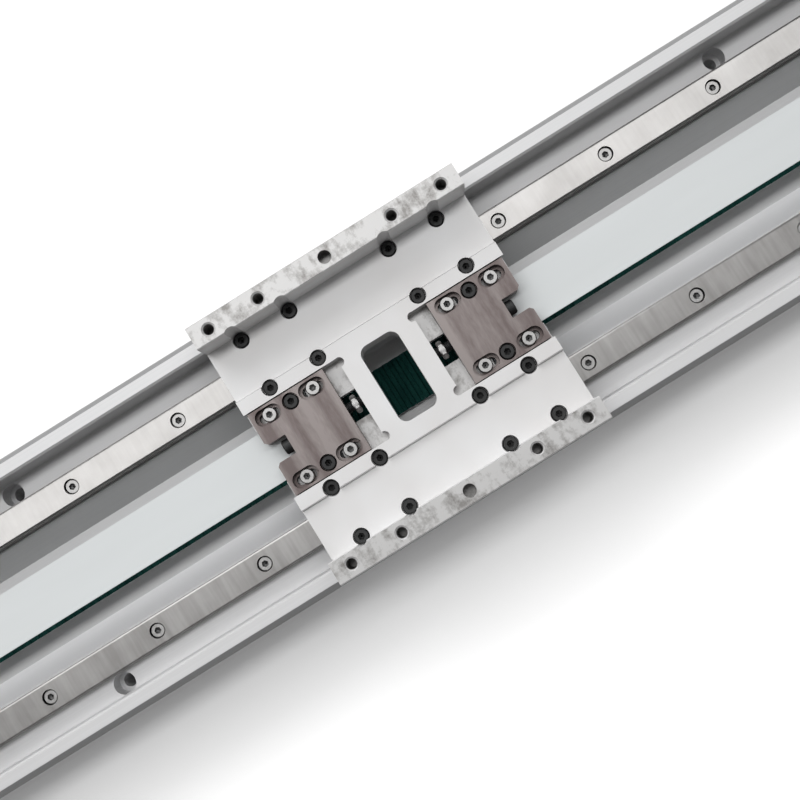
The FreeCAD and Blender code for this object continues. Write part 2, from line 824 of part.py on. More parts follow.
def bearing_outer(cx):
    """Outer rings with their two shields, which stop short of the inner rings."""
    low = shaft_r + bearing_ring + bearing_gap
    high = bearing_outer_r - bearing_ring
    near = cavity_half + bearing_shield
    far = bearing_out - bearing_shield
    profile = [
        (bearing_outer_r, cavity_half), (bearing_outer_r, bearing_out), (low, bearing_out), (low, far),
        (high, far), (high, near), (low, near), (low, cavity_half),
    ]
    return [ring_y([(r, s * y) for r, y in profile], cx, axle_z) for s in (-1, 1)]


def shaft(cx, shoulder, stub):
    """Round shaft from its blind end to its shoulder, then a thinner stub; broken edges."""
    start = -bearing_out - relief
    c = edge_chamfer
    profile = [(0, start), (shaft_r - c, start), (shaft_r, start + c),
               (shaft_r, shoulder - c), (shaft_r - c, shoulder)]
    if stub:
        end = shoulder + stub
        profile += [(stub_r, shoulder), (stub_r, end - c), (stub_r - c, end), (0, end)]
    else:
        profile.append((0, shoulder))
    return ring_y(profile, cx, axle_z)


# End housings, made for the driven end at +X
def end_outline():
    c = housing_chamfer
    return both_sides([(half_width - c, 0), (half_width, c), (half_width, housing_height - c),
                       (half_width - c, housing_height)])


def housing(with_flange_holes):
    start = half_length
    end = half_length + housing_length
    body = prism_x(end_outline(), start, end)
    cuts = [box(start, end, -cavity_half, cavity_half, trough_floor_z, cavity_top_z)]
    cuts.append(rod_y(bearing_outer_r, -bearing_out, bearing_out, pulley_x, axle_z))
    cuts.append(rod_y(shaft_r + relief, -bearing_out - 2 * relief, 0, pulley_x, axle_z))
    cuts.append(rod_y(shaft_hole_r, 0, half_width, pulley_x, axle_z))
    sink = end - end_screw_sink
    for y, z in end_screw_places:
        for side in (-1, 1):
            cuts.append(rod_x(m5[0], start, sink, side * y, z))
            cuts.append(rod_x(m5[1] + head_room, sink, end, side * y, z))
    thread_start = end + cover_thickness - cover_screw_sink - cover_screw_length
    for y, z in cover_screw_places:
        for side in (-1, 1):
            cuts.append(rod_x(m4[0], thread_start, end, side * y, z))
    if with_flange_holes:
        for dx, dz in four_ways(flange_hole_half, flange_hole_half):
            start_y = half_width - flange_hole_depth
            cuts.append(rod_y(flange_hole_r, start_y, half_width, pulley_x + dx, axle_z + dz))
    body = body.cut(cuts)
    return body.removeSplitter()


def end_cover():
    start = half_length + housing_length
    end = start + cover_thickness
    body = prism_x(end_outline(), start, end)
    cuts = []
    for y, z in cover_screw_places:
        for side in (-1, 1):
            cuts.append(rod_x(m4[0], start, end - cover_screw_sink, side * y, z))
            cuts.append(rod_x(m4[1] + head_room, end - cover_screw_sink, end, side * y, z))
    return body.cut(cuts)


def housing_screws():
    x = half_length + housing_length - end_screw_sink
    places = [(side * y, z) for y, z in end_screw_places for side in (-1, 1)]
    return [cap_screw(m5, end_screw_length, (x, y, z), (-1, 0, 0)) for y, z in places]


def cover_screws():
    x = half_length + housing_length + cover_thickness - cover_screw_sink
    places = [(side * y, z) for y, z in cover_screw_places for side in (-1, 1)]
    return [cap_screw(m4, cover_screw_length, (x, y, z), (-1, 0, 0)) for y, z in places]


def rubber_stop(side):
    """Round nosed stop on the housing's inner face, in the path of the plate's end."""
    z = housing_height - stop_drop
    nose = half_length - stop_length
    c = stop_nose
    points = [(half_length, 0), (half_length, stop_r), (nose + c, stop_r), (nose, stop_r - c), (nose, 0)]
    wire = Part.makePolygon([vec(x, side * stop_half, z + r) for x, r in points + points[:1]])
    return Part.Face(wire).revolve(vec(0, side * stop_half, z), vec(1, 0, 0), 360)


def make_base():
    save("base_extrusion", base_extrusion())
    left = rail()
    save("rail_left", left)
    save("rail_right", mirror_y(left))
    save("rail_screws", rail_screws())
    save("toothed_belt", toothed_belt())


def make_carriage():
    save("carriage_plate", carriage_plate())
    save("plate_screws", plate_screws())
    save("clamp_screws", clamp_screws())
    body = block_body()
    caps = block_ends(block_body_length / 2, block_cap_length, cap_gap, cap_inset, cap_chamfer)
    seal_start = block_body_length / 2 + block_cap_length
    seals = block_ends(seal_start, block_seal_length, seal_gap, 2 * cap_inset, cap_chamfer)
    quarters = {"drive_left": (1, 1), "drive_right": (1, -1), "idler_left": (-1, 1), "idler_right": (-1, -1)}
    for name, (sx, sy) in quarters.items():
        save("block_body_" + name, in_quarter(body, sx, sy))
        save("block_caps_" + name, [in_quarter(s, sx, sy) for s in caps])
        save("block_seals_" + name, [in_quarter(s, sx, sy) for s in seals])


def make_clamps():
    for name, side in (("drive", 1), ("idler", -1)):
        def placed(shape):
            return on_carriage(shape if side > 0 else mirror_x(shape))
        save("belt_clamp_" + name, placed(clamp_block()))
        save("clamp_jaw_" + name, clamp_jaw(side))
        save("belt_bolts_" + name, [placed(s) for s in belt_bolts()])
        save("tension_screw_" + name, placed(tension_screw()))
        save("lock_nut_" + name, placed(lock_nut()))


def make_drive_end():
    cx = pulley_x
    key = key_block(cx, 0)
    save("drive_housing", housing(True))
    save("drive_end_cover", end_cover())
    save("drive_housing_screws", housing_screws())
    save("drive_cover_screws", cover_screws())
    save("drive_pulley", pulley(cx).cut(key_block(cx, pulley_width)))
    save("drive_pulley_flanges", flanges(cx))
    save("drive_shaft", shaft(cx, half_width, stub_length).cut(key))
    save("drive_key", key)
    save("drive_spacers", spacers(cx))
    save("drive_bearing_inner", bearing_inner(cx))
    save("drive_bearing_outer", bearing_outer(cx))


def make_idler_end():
    cx = pulley_x
    plug = rod_y(shaft_hole_r, half_width - plug_thickness, half_width, cx, axle_z)
    pieces = {
        "idler_housing": housing(False), "idler_end_cover": end_cover(),
        "idler_housing_screws": housing_screws(), "idler_cover_screws": cover_screws(),
        "idler_pulley": pulley(cx), "idler_pulley_flanges": flanges(cx),
        "idler_shaft": shaft(cx, bearing_out + relief, 0), "idler_spacers": spacers(cx),
        "idler_bearing_inner": bearing_inner(cx), "idler_bearing_outer": bearing_outer(cx),
        "idler_plug": plug,
    }
    for name, shape in pieces.items():
        solids = shape if isinstance(shape, list) else [shape]
        save(name, [mirror_x(s) for s in solids])


def make_stops():
    for name, side in (("left", 1), ("right", -1)):
        stop = rubber_stop(side)
        save("stop_drive_" + name, stop)
        save("stop_idler_" + name, mirror_x(stop))


os.makedirs("parts", exist_ok=True)
make_base()
make_carriage()
make_clamps()
make_drive_end()
make_idler_end()
make_stops()
print("axle height", round(axle_z, 3), "belt back radius", round(back_r, 3))
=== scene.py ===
import json
import math
import bpy
import bmesh
from mathutils import Matrix, Vector


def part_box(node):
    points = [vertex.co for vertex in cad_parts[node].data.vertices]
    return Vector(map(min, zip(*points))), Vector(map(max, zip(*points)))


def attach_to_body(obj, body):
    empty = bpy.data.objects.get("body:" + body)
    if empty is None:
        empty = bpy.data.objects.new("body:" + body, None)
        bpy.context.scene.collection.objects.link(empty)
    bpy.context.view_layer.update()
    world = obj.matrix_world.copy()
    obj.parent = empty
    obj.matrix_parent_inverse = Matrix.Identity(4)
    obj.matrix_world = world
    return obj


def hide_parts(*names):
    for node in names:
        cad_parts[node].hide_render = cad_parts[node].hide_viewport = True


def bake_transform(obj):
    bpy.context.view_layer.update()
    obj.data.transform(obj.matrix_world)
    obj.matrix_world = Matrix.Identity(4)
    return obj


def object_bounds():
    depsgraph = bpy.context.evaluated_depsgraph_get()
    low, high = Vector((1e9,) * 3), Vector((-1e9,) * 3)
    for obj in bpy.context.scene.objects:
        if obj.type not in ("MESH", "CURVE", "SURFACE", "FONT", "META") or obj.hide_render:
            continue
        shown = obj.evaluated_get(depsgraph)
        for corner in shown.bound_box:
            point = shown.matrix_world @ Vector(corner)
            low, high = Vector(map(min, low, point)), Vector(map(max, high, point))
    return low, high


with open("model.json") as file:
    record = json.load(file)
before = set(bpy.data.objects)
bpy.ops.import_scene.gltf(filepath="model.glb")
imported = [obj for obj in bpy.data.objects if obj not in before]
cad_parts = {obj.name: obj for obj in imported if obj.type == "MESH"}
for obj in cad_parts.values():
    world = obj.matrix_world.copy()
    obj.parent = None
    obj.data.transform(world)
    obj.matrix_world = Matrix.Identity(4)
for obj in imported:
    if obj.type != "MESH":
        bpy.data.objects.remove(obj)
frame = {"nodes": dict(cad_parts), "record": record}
nodes = frame["nodes"]
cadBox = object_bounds()
print("frame loaded:", len(nodes), "parts")

# places read from the frame, in metres
plateLow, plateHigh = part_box("carriage_plate")
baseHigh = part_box("base_extrusion")[1]
railLow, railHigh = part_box("rail_left")
beltLow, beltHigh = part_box("toothed_belt")
pulleyLow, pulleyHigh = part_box("drive_pulley")
carriageX = (plateLow[0] + plateHigh[0]) / 2
pulleyX = (pulleyLow[0] + pulleyHigh[0]) / 2
axleZ = (pulleyLow[2] + pulleyHigh[2]) / 2
lipTopZ = plateHigh[2]
railTopZ = railHigh[2]
beltBackZ = beltHigh[2]

# distances below which points count as the same, and how square to an axis a flat face is
tolerance = {"solid": 1e-7, "weld": 1e-6, "level": 1e-5, "corner": 2e-5, "ring": 1e-4}
square = 0.99


# mesh helpers
def deselectAll():
    if bpy.context.object and bpy.context.object.mode != "OBJECT":
        bpy.ops.object.mode_set(mode="OBJECT")
    bpy.ops.object.select_all(action="DESELECT")


def activate(piece):
    deselectAll()
    piece.select_set(True)
    bpy.context.view_layer.objects.active = piece


def named(name, piece=None):
    piece = piece or bpy.context.object
    piece.name = name
    piece.data.name = name
    return piece


def settle(piece):
    # puts the piece's place into its mesh
    piece.data.transform(piece.matrix_world)
    piece.matrix_world = Matrix.Identity(4)
    return piece


def applyModifiers(piece):
    activate(piece)
    for modifier in list(piece.modifiers):
        bpy.ops.object.modifier_apply(modifier=modifier.name)
    return piece


def join(name, parts):
    activate(parts[0])
    for part in parts:
        part.select_set(True)
    if len(parts) > 1:
        bpy.ops.object.join()
    return named(name)


def copyOf(piece, matrix=Matrix.Identity(4)):
    copy = piece.copy()
    copy.data = piece.data.copy()
    bpy.context.scene.collection.objects.link(copy)
    copy.data.transform(matrix)
    return copy


def scatter(name, model, places):
    # a copy of the model at each place, joined into one piece
    copies = [copyOf(model, place) for place in places]
    bpy.data.objects.remove(model)
    return join(name, copies)


def editOn(piece):
    activate(piece)
    bpy.ops.object.mode_set(mode="EDIT")
    bpy.ops.mesh.select_mode(type="FACE")
    bpy.ops.mesh.select_all(action="DESELECT")
    return bmesh.from_edit_mesh(piece.data)


def pickFaces(piece, wanted):
    mesh = bmesh.from_edit_mesh(piece.data)
    bpy.ops.mesh.select_all(action="DESELECT")
    for face in mesh.faces:
        if wanted(face):
            face.select_set(True)
    bmesh.update_edit_mesh(piece.data)


def setReach(piece, reach):
    # moves the picked points to a distance from the Z axis
    mesh = bmesh.from_edit_mesh(piece.data)
    for vert in mesh.verts:
        if vert.select:
            vert.co.xy = vert.co.xy.normalized() * reach(vert.co)
    bmesh.update_edit_mesh(piece.data)


def hexagonReach(flats, point):
    # distance from the Z axis to a hexagon's side, towards a point
    turn = (math.atan2(point.y, point.x) + math.pi / 6) % (math.pi / 3) - math.pi / 6
    return flats / 2 / math.cos(turn)


def smooth(piece, angle=30):
    activate(piece)
    bpy.ops.object.shade_smooth_by_angle(angle=math.radians(angle))
    return piece


def attach(piece, body, slot, *replaced):
    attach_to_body(piece, body)
    if replaced:
        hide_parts(*replaced)
    return piece


def finish(piece, body, slot, *replaced, look=None):
    # a piece of one finish, its slot's own where no other is named
    piece.data.materials.clear()
    piece.data.materials.append(looks[look or slotLooks[slot]])
    return attach(piece, body, slot, *replaced)


# material helpers
class Graph:
    # nodes added to a shader tree, with one kind of coordinates

    def __init__(self, tree, coordinates):
        self.tree = tree
        self.place = self.add("ShaderNodeTexCoord").outputs[coordinates]

    def add(self, kind, **settings):
        node = self.tree.nodes.new(kind)
        for key, value in settings.items():
            setattr(node, key, value)
        return node

    def link(self, a, b):
        self.tree.links.new(a, b)

    def put(self, socket, value):
        # a number or a colour is written, an output is linked
        if isinstance(value, (int, float)):
            socket.default_value = value
        elif isinstance(value, tuple):
            socket.default_value = (*value, 1)
        else:
            self.link(value, socket)

    def remap(self, value, low, high, newLow, newHigh, **settings):
        node = self.add("ShaderNodeMapRange", clamp=True, **settings)
        ends = {"From Min": low, "From Max": high, "To Min": newLow, "To Max": newHigh}
        for name, number in ends.items():
            node.inputs[name].default_value = number
        self.link(value, node.inputs["Value"])
        return node.outputs["Result"]

    def math(self, operation, a, b=0):
        node = self.add("ShaderNodeMath", operation=operation)
        self.put(node.inputs[0], a)
        self.put(node.inputs[1], b)
        return node.outputs[0]

    def product(self, first, *others):
        for other in others:
            first = self.math("MULTIPLY", first, other)
        return first

    def weigh(self, a, b, share):
        # two values mixed, share of the first
        return self.math("ADD", self.product(a, share), self.product(b, 1 - share))

    def axis(self, letter):
        node = self.add("ShaderNodeSeparateXYZ")
        self.link(self.place, node.inputs[0])
        return node.outputs[letter]

    def fromMiddle(self, letter):
        return self.math("ABSOLUTE", self.axis(letter))

    def facing(self, letter):
        node = self.add("ShaderNodeSeparateXYZ")
        self.link(self.add("ShaderNodeNewGeometry").outputs["Normal"], node.inputs[0])
        return node.outputs[letter]

    def cameraRay(self):
        return self.add("ShaderNodeLightPath").outputs["Is Camera Ray"]


class Look(Graph):
    # one material, its nodes on Object coordinates

    def __init__(self, name, color, rough, metal=0.0):
        self.material = bpy.data.materials.new(name)
        self.material.use_nodes = True
        super().__init__(self.material.node_tree, "Object")
        self.shader = self.tree.nodes["Principled BSDF"]
        self.set("Base Color", color)
        self.set("Roughness", rough)
        self.set("Metallic", metal)

    def set(self, name, value):
        self.put(self.shader.inputs[name], value)

    def noise(self, scale, detail=3.0, rough=0.55, turn=0.0):
        mapping = self.add("ShaderNodeMapping")
        mapping.inputs["Scale"].default_value = scale
        mapping.inputs["Rotation"].default_value = (0, 0, math.radians(turn))
        self.link(self.place, mapping.inputs["Vector"])
        noise = self.add("ShaderNodeTexNoise")
        noise.inputs["Scale"].default_value = 1.0
        noise.inputs["Detail"].default_value = detail
        noise.inputs["Roughness"].default_value = rough
        self.link(mapping.outputs["Vector"], noise.inputs["Vector"])
        return noise.outputs["Fac"]

    def mix(self, factor, a, b):
        node = self.add("ShaderNodeMix", data_type="RGBA")
        self.link(factor, node.inputs["Factor"])
        ends = [socket for socket in node.inputs if socket.type == "RGBA"]
        self.put(ends[0], a)
        self.put(ends[1], b)
        return [socket for socket in node.outputs if socket.type == "RGBA"][0]

    def grade(self, value, span, dark, light):
        # from dark to light as the value goes through its span
        return self.mix(self.remap(value, *span, 0, 1), dark, light)

    def roughen(self, value, rough, share):
        # the roughness varies by a share to either side
        ends = (rough * (1 - share), rough * (1 + share))
        self.set("Roughness", self.remap(value, *noiseSpans["wide"], *ends))

    def bump(self, height, strength, distance):
        node = self.add("ShaderNodeBump")
        node.inputs["Strength"].default_value = strength
        node.inputs["Distance"].default_value = distance
        self.link(height, node.inputs["Height"])
        self.set("Normal", node.outputs["Normal"])


# the part of a noise's range that a colour or roughness goes through
noiseSpans = {"wide": (0.3, 0.7), "even": (0.35, 0.65), "tight": (0.38, 0.62)}

# finishes
# the profile's pale trough colour is a painted highlight, its dark edge colour a painted shade
profileFinish = {"color": (0.77, 0.77, 0.775), "dark": (0.71, 0.71, 0.715), "rough": 0.5, "metal": 0.30,
                 "paintedLitSlope": (0.97, 0.97, 0.985), "slopeY": 0.0336, "slopeFacing": (0.5, 0.8),
                 "edge": (0.33, 0.33, 0.335), "shadedEdgeY": 0.0652, "shadedEdgeZ": 0.0505, "shadedEdgeFacing": (0.85, 0.95)}


def profileLook():
    # painted light: the trough's side that faces +Y is painted paler and not metallic, a painted highlight
    # where the light falls, and the steep edges on top of the outer walls are painted darker, a painted shade
    values = profileFinish
    look = Look("anodisedProfile", values["color"], values["rough"], values["metal"])
    lines = look.noise((4, 1400, 1400), detail=2)
    both = look.weigh(lines, look.noise((18, 40, 40), detail=3), share=0.45)
    grain = look.grade(both, noiseSpans["even"], values["dark"], values["color"])
    inTrough = look.math("LESS_THAN", look.fromMiddle("Y"), values["slopeY"])
    # painted highlight: a mask of the trough's side that faces +Y, where the light falls
    paintedLitSlope = look.product(inTrough, look.remap(look.facing("Y"), *values["slopeFacing"], 0, 1))
    # painted shade: the steep faces high on the outer walls, which lie in shade, are masked to be painted
    # dark
    outside = look.math("GREATER_THAN", look.fromMiddle("Y"), values["shadedEdgeY"])
    high = look.math("GREATER_THAN", look.axis("Z"), values["shadedEdgeZ"])
    onBase = look.math("LESS_THAN", look.fromMiddle("X"), baseHigh[0] - tolerance["level"])
    steep = look.remap(look.facing("Z"), *values["shadedEdgeFacing"], 1, 0)
    edge = look.product(outside, high, onBase, steep)
    look.set("Base Color", look.mix(edge, look.mix(paintedLitSlope, grain, values["paintedLitSlope"]), values["edge"]))
    look.set("Metallic", look.remap(paintedLitSlope, 0, 1, values["metal"], 0))
    look.roughen(both, values["rough"], share=0.1)
    look.bump(lines, strength=0.12, distance=0.00003)
    return look.material


railFinish = {"color": (0.345, 0.338, 0.332), "dark": (0.265, 0.258, 0.252), "rough": 0.30, "metal": 1.0}


def railLook():
    look = Look("groundRail", railFinish["color"], railFinish["rough"], railFinish["metal"])
    cross = look.noise((300, 25, 25), detail=2, rough=0.6, turn=8)
    both = look.weigh(cross, look.noise((45, 45, 45), detail=3), share=0.5)
    look.set("Base Color", look.grade(both, noiseSpans["tight"], railFinish["dark"], railFinish["color"]))
    look.roughen(cross, railFinish["rough"], share=0.07)
    return look.material


plateFinish = {"color": (0.77, 0.77, 0.772), "dark": (0.71, 0.70, 0.695), "rough": 0.45, "metal": 0.25}
bareFinish = {"color": (0.60, 0.595, 0.59), "dark": (0.27, 0.26, 0.25), "rough": 0.42, "metal": 0.45,
              "stainSpan": (0.38, 0.52), "lipSkin": 0.0002, "pocketTop": 0.0076}


def plateLook():
    # bare stained metal shows on the lips' tops and on the pockets' floors
    look = Look("milledPlate", plateFinish["color"], plateFinish["rough"], plateFinish["metal"])
    clouds = look.noise((25, 25, 25), detail=2)
    satin = look.grade(clouds, noiseSpans["even"], plateFinish["dark"], plateFinish["color"])
    streak = look.noise((260, 60, 60), detail=3, rough=0.6, turn=40)
    raw = look.weigh(look.noise((95, 95, 95), detail=6, rough=0.72), streak, share=0.7)
    stained = look.grade(raw, bareFinish["stainSpan"], bareFinish["dark"], bareFinish["color"])
    onLip = look.math("GREATER_THAN", look.axis("Z"), lipTopZ - bareFinish["lipSkin"])
    low = look.math("LESS_THAN", look.axis("Z"), plateLow[2] + bareFinish["pocketTop"])
    upward = look.math("GREATER_THAN", look.facing("Z"), 0.5)
    bare = look.math("MAXIMUM", onLip, look.product(low, upward))
    look.set("Base Color", look.mix(bare, satin, stained))
    look.set("Roughness", look.remap(bare, 0, 1, plateFinish["rough"], bareFinish["rough"]))
    look.set("Metallic", look.remap(bare, 0, 1, plateFinish["metal"], bareFinish["metal"]))
    look.bump(raw, strength=0.05, distance=0.0001)
    return look.material


clampFinish = {"color": (0.135, 0.108, 0.104), "light": (0.255, 0.225, 0.217), "rough": 0.40, "metal": 0.55}


def clampLook():
    look = Look("brownClamp", clampFinish["color"], clampFinish["rough"], clampFinish["metal"])
    grain = look.noise((700, 140, 500), detail=4, rough=0.65, turn=25)
    # bands along Y painted lighter and darker: painted highlights and shade of the milled waviness, mixed
    # with the clamp's own fine grain
    both = look.weigh(look.noise((150, 3, 3), detail=1), grain, share=0.7)
    look.set("Base Color", look.grade(both, noiseSpans["tight"], clampFinish["color"], clampFinish["light"]))
    look.bump(grain, strength=0.14, distance=0.00005)
    return look.material


shaftFinish = {"color": (0.58, 0.58, 0.59), "dark": (0.46, 0.46, 0.47), "rough": 0.24, "metal": 1.0}


def shaftLook():
    look = Look("groundShaft", shaftFinish["color"], shaftFinish["rough"], shaftFinish["metal"])
    rings = look.noise((50, 2600, 50), detail=3, rough=0.6)
    look.set("Base Color", look.grade(rings, noiseSpans["even"], shaftFinish["dark"], shaftFinish["color"]))
    look.roughen(rings, shaftFinish["rough"], share=0.2)
    return look.material


beltFinish = {"back": (0.79, 0.82, 0.825), "dull": 0.96, "rough": 0.45}
fabricFinish = {"teeth": (0.005, 0.038, 0.034), "lint": (0.014, 0.090, 0.076), "rough": 0.85,
                "specular": 0.15, "lintSpan": (0.4, 0.62)}


def beltLook():
    look = Look("beltBack", beltFinish["back"], beltFinish["rough"])
    dull = tuple(c * beltFinish["dull"] for c in beltFinish["back"])
    sheen = look.noise((8, 60, 60), detail=2)
    look.set("Base Color", look.grade(sheen, noiseSpans["wide"], dull, beltFinish["back"]))
    look.bump(look.noise((900, 900, 900), detail=2), strength=0.05, distance=0.00003)
    return look.material


def fabricLook():
    look = Look("beltFabric", fabricFinish["teeth"], fabricFinish["rough"])
    look.set("Specular IOR Level", fabricFinish["specular"])
    weave = look.noise((2500, 900, 2500), detail=2)
    both = look.weigh(weave, look.noise((60, 25, 60), detail=3), share=0.4)
    linty = look.grade(both, fabricFinish["lintSpan"], fabricFinish["teeth"], fabricFinish["lint"])
    look.set("Base Color", linty)
    look.bump(weave, strength=0.2, distance=0.00005)
    return look.material


darkShares = {"steel": 0.75, "plastic": 0.8}
steelFinishes = {
    "blackScrew": {"name": "blackOxide", "color": (0.012, 0.0125, 0.013), "rough": 0.5, "metal": 0.0},
    # the socket finishes are darker copies of the screw finishes: painted shade inside the sockets
    "blackScrewSocket": {"name": "blackSocket", "color": (0.005, 0.005, 0.006), "rough": 0.6, "metal": 0.0},
    "brightScrew": {"name": "brightZinc", "color": (0.40, 0.395, 0.39), "rough": 0.38, "metal": 1.0},
    "brightScrewSocket": {"name": "brightSocket", "color": (0.20, 0.20, 0.20), "rough": 0.5, "metal": 0.9},
    # painted shade: the dark finish of the walls and threads inside the lip holes
    "shadedThreadWall": {"name": "shadedThread", "color": (0.26, 0.255, 0.25), "rough": 0.36, "metal": 0.9},
    "steel": {"name": "groundSteel", "color": (0.60, 0.61, 0.62), "rough": 0.28, "metal": 1.0},
    "castJaw": {"name": "milledJaw", "color": (0.50, 0.50, 0.52), "rough": 0.35, "metal": 0.9},
}
plasticFinishes = {
    "capPlastic": {"name": "capPlastic", "color": (0.02, 0.10, 0.05), "rough": 0.45},
    "rubber": {"name": "stopRubber", "color": (0.015, 0.015, 0.015), "rough": 0.7},
    "blackPlastic": {"name": "blackPlastic", "color": (0.02, 0.02, 0.022), "rough": 0.5},
}


def steelLook(name, color, rough, metal):
    look = Look(name, color, rough, metal)
    grain = look.noise((900, 900, 900), detail=3)
    dark = tuple(c * darkShares["steel"] for c in color)
    look.set("Base Color", look.grade(grain, noiseSpans["even"], dark, color))
    look.roughen(grain, rough, share=0.15)
    return look.material


def plasticLook(name, color, rough):
    look = Look(name, color, rough)
    grain = look.noise((1500, 1500, 1500), detail=2)
    dark = tuple(c * darkShares["plastic"] for c in color)
    look.set("Base Color", look.grade(grain, noiseSpans["even"], dark, color))
    look.bump(grain, strength=0.2, distance=0.00005)
    return look.material


looks = {"profile": profileLook(), "rail": railLook(), "plate": plateLook(), "clamp": clampLook(),
         "shaft": shaftLook(), "belt": beltLook(), "fabric": fabricLook()}
looks.update({key: steelLook(**values) for key, values in steelFinishes.items()})
looks.update({key: plasticLook(**values) for key, values in plasticFinishes.items()})
print("finishes made:", len(looks))

slotLooks = {
    "anodised_profile": "profile", "carriage_aluminium": "plate", "clamp_aluminium": "clamp",
    "jaw_aluminium": "castJaw", "housing_aluminium": "profile", "rail_steel": "rail", "block_steel": "steel",
    "block_plastic": "capPlastic", "seal_rubber": "rubber", "black_screw": "blackScrew",
    "bright_screw": "brightScrew", "belt_polyurethane": "belt", "pulley_aluminium": "castJaw",
    "shaft_steel": "shaft", "bearing_steel": "steel", "stop_rubber": "rubber", "plug_plastic": "blackPlastic",
}
for part in frame["record"]["subparts"]:
    node = nodes[part["node"]]
    node.data.materials.clear()
    node.data.materials.append(looks[slotLooks[part["material_slot"]]])
print("parts painted")


# cap screws, each modelled once with its head's underside at the origin, then copied
screwShape = {"sides": 60, "rim": 0.00045, "knurl": 0.00010, "drillAngle": 0.0006, "drillInset": 0.35,
              "socketReach": 0.56, "socketFloor": 0.1, "facing": 0.9, "tip": 0.0005, "tipShare": 0.8,
              "turnStep": 47, "lift": 0.00002}
screwSizes = {
    "m4": {"head": 0.0035, "height": 0.004, "shank": 0.002, "flats": 0.003, "socket": 0.0020},
    "m5": {"head": 0.00425, "height": 0.005, "shank": 0.0025, "flats": 0.004, "socket": 0.0025},
    "seal": {"head": 0.0017, "height": 0.0012, "shank": 0.0008, "flats": 0.0014, "socket": 0.0006},
    "tension": {"head": 0.0035, "height": 0.004, "shank": 0.0025, "flats": 0.003, "socket": 0.0020},
}


def looseBoxes(node):
    # one box for each separate solid of a CAD part
    mesh = bmesh.new()
    mesh.from_mesh(nodes[node].data)
    bmesh.ops.remove_doubles(mesh, verts=mesh.verts, dist=tolerance["solid"])
    boxes = []
    left = set(mesh.verts)
    while left:
        waiting = [left.pop()]
        group = []
        while waiting:
            vert = waiting.pop()
            group.append(vert.co.copy())
            near = [edge.other_vert(vert) for edge in vert.link_edges]
            fresh = [other for other in near if other in left]
            left.difference_update(fresh)
            waiting.extend(fresh)
        boxes.append([Vector([pick(co[i] for co in group) for i in range(3)]) for pick in (min, max)])
    mesh.free()
    return sorted(boxes, key=lambda box: tuple(round(c, 5) for c in box[0]))


def cutSocket(screw, size):
    # a rim that falls away to the knurled side, then a hexagonal socket with a drilled bottom
    top = size["height"] - tolerance["weld"]
    pickFaces(screw, lambda face: face.normal.z > screwShape["facing"])
    bpy.ops.mesh.inset(thickness=screwShape["rim"])
    mesh = bmesh.from_edit_mesh(screw.data)
    for vert in mesh.verts:
        if vert.co.z > top and not vert.select:
            vert.co.z -= screwShape["rim"]
    setReach(screw, lambda co: size["head"] - screwShape["rim"])
    bpy.ops.mesh.inset(thickness=size["head"] / 2 - screwShape["rim"])
    setReach(screw, lambda co: hexagonReach(size["flats"], co))
    bpy.ops.mesh.extrude_region_move(TRANSFORM_OT_translate={"value": (0, 0, -size["socket"])})
    bpy.ops.mesh.inset(thickness=size["flats"] * screwShape["drillInset"])
    bpy.ops.transform.translate(value=(0, 0, -screwShape["drillAngle"]))
    mesh = bmesh.from_edit_mesh(screw.data)
    # the socket's walls and floor take the darker socket finish: painted shade in the recess
    for face in mesh.faces:
        middle = face.calc_center_median()
        inside = middle.xy.length < size["flats"] * screwShape["socketReach"]
        if inside and size["height"] * screwShape["socketFloor"] < middle.z < top:
            face.material_index = 1


def drawShank(screw, size, length):
    pickFaces(screw, lambda face: face.normal.z < -screwShape["facing"])
    bpy.ops.mesh.inset(thickness=size["head"] - size["shank"])
    setReach(screw, lambda co: size["shank"])
    bpy.ops.mesh.extrude_region_move(TRANSFORM_OT_translate={"value": (0, 0, screwShape["tip"] - length)})
    bpy.ops.mesh.extrude_region_move(TRANSFORM_OT_translate={"value": (0, 0, -screwShape["tip"])})
    bpy.ops.transform.resize(value=(screwShape["tipShare"], screwShape["tipShare"], 1),
                             center_override=(0, 0, -length))


def capScrew(name, size, length, look):
    sides = screwShape["sides"]
    deselectAll()
    bpy.ops.mesh.primitive_cylinder_add(vertices=sides, radius=size["head"], depth=size["height"],
                                        location=(0, 0, size["height"] / 2))
    screw = settle(named(name))
    # the second finish is the painted shade of the socket
    screw.data.materials.append(looks[look])
    screw.data.materials.append(looks[look + "Socket"])
    mesh = editOn(screw)
    for vert in mesh.verts:
        step = round(math.atan2(vert.co.y, vert.co.x) / (2 * math.pi) * sides)
        if step % 2:  # every second edge sinks: knurling
            vert.co.xy = vert.co.xy * (1 - screwShape["knurl"] / size["head"])
    cutSocket(screw, size)
    drawShank(screw, size, length)
    bpy.ops.object.mode_set(mode="OBJECT")
    return smooth(screw)


def placeScrews(name, node, size, body, slot, facing="up"):
    axis, side = {"up": (2, 1), "+x": (0, 1), "-x": (0, -1)}[facing]
    tilt = Matrix.Identity(4) if facing == "up" else Matrix.Rotation(side * math.pi / 2, 4, "Y")
    boxes = looseBoxes(node)
    length = boxes[0][1][axis] - boxes[0][0][axis] - size["height"]
    places = []
    for number, (low, high) in enumerate(boxes):
        seat = (low + high) / 2
        seat[axis] = (high if side > 0 else low)[axis] - side * size["height"]
        turn = Matrix.Rotation(math.radians(number * screwShape["turnStep"]), 4, "Z")
        places.append(Matrix.Translation(seat) @ tilt @ turn)
    model = capScrew(name + "Model", size, length, slotLooks[slot])
    return attach(scatter(name, model, places), body, slot, node)


